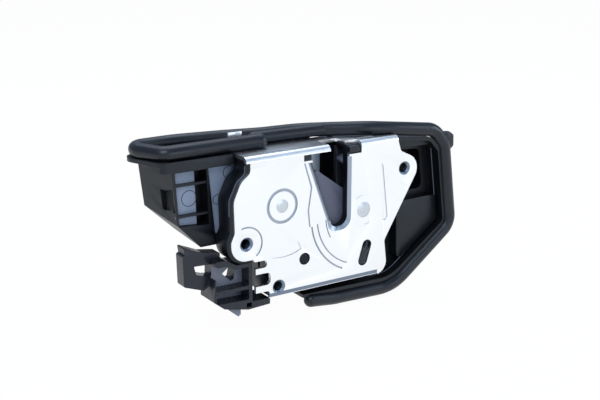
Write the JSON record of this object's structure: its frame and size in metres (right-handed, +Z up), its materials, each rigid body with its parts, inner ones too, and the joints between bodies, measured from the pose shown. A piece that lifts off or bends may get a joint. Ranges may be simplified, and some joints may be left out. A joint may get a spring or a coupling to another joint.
{
  "type": "car door lock",
  "caption": "Car door latch with a zinc face plate, open rotary catch in a striker mouth, black actuator housing, rubber seal bead and cable bracket.",
  "frame": {"origin": "centre of the left fixing hole on the face plate's front face", "axes": "+X along the face plate towards the right fixing, +Y away from the striker's side into the door, +Z up towards the mouth's open end"},
  "size_m": [0.1842, 0.0404, 0.0966],
  "materials": {
    "zinc": "bright zinc plating, satin",
    "steel": "satin",
    "black_plastic": "fine moulded texture",
    "grey_plastic": "moulded",
    "dark_plastic": "moulded",
    "ivory_plastic": "moulded acetal",
    "rubber": "soft sponge rubber skin",
    "spring_steel": "drawn wire",
    "motor_steel": "rolled can",
    "brass": "drawn",
    "tin": "tinned strip"
  },
  "bodies": {
    "lock_frame": {"face_plate": "zinc", "latch_housing": "black_plastic", "back_plate": "zinc", "pawl_rivet": "steel", "catch_rivet": "steel", "catch_spring": "spring_steel", "pawl_spring": "spring_steel", "release_spring": "spring_steel", "striker_bumper": "rubber", "main_housing": "black_plastic", "rear_cover": "black_plastic", "perimeter_seal": "rubber", "motor_can": "motor_steel", "connector_socket": "dark_plastic", "connector_pins": "tin", "lead_frame": "tin", "catch_switch": "grey_plastic", "lock_switch": "grey_plastic", "cable_bracket": "dark_plastic", "mouth_guide": "grey_plastic", "cover_screws": "zinc", "plate_screw": "zinc"},
    "catch": {"catch_core": "steel", "catch_cover": "dark_plastic"},
    "pawl_body": {"pawl": "steel"},
    "release": {"release_lever": "zinc"},
    "inside": {"inside_lever": "zinc"},
    "wheel": {"worm_wheel": "ivory_plastic"},
    "worm": {"motor_worm": "brass"},
    "lock": {"lock_lever": "zinc"},
    "key": {"key_drive": "ivory_plastic"},
    "emergency": {"emergency_lever": "dark_plastic"}
  },
  "joints": [
    {"name": "catch_turn", "type": "hinge", "parent": "lock_frame", "child": "catch", "pos_m": [0.0703, 0, 0.0065], "axis": [0, -1, 0], "range_deg": [0, 70]},
    {"name": "release_turn", "type": "hinge", "parent": "lock_frame", "child": "release", "pos_m": [0.0206, 0, 0.0164], "axis": [0, -1, 0], "range_deg": [0, 12]},
    {"name": "pawl_turn", "type": "hinge", "parent": "lock_frame", "child": "pawl_body", "pos_m": [0.0206, 0, 0.0164], "axis": [0, -1, 0], "range_deg": [0, 12]},
    {"name": "inside_turn", "type": "hinge", "parent": "lock_frame", "child": "inside", "pos_m": [0.014, 0, 0.005], "axis": [0, -1, 0], "range_deg": [-20, 0]},
    {"name": "wheel_turn", "type": "hinge", "parent": "lock_frame", "child": "wheel", "pos_m": [0.0355, 0, 0.012], "axis": [0, -1, 0], "range_deg": [-56, 56]},
    {"name": "worm_turn", "type": "hinge", "parent": "lock_frame", "child": "worm", "pos_m": [0, 0.0286, 0.026], "axis": [1, 0, 0], "range_deg": [-1125, 1125]},
    {"name": "lock_turn", "type": "hinge", "parent": "lock_frame", "child": "lock", "pos_m": [0.0355, 0, -0.013], "axis": [0, -1, 0], "range_deg": [-14, 14]},
    {"name": "key_turn", "type": "hinge", "parent": "lock_frame", "child": "key", "pos_m": [0.066, 0.027, 0], "axis": [0, 0, 1], "range_deg": [-45, 45]},
    {"name": "emergency_turn", "type": "hinge", "parent": "lock_frame", "child": "emergency", "pos_m": [0.0428, 0, -0.0085], "axis": [0, -1, 0], "range_deg": [0, 5.5]}
  ],
  "couplings": [
    {"joint": "pawl_turn", "follows": "release_turn", "ratio": 1},
    {"joint": "worm_turn", "follows": "wheel_turn", "ratio": 20},
    {"joint": "lock_turn", "follows": "wheel_turn", "ratio": -0.25}
  ]
}
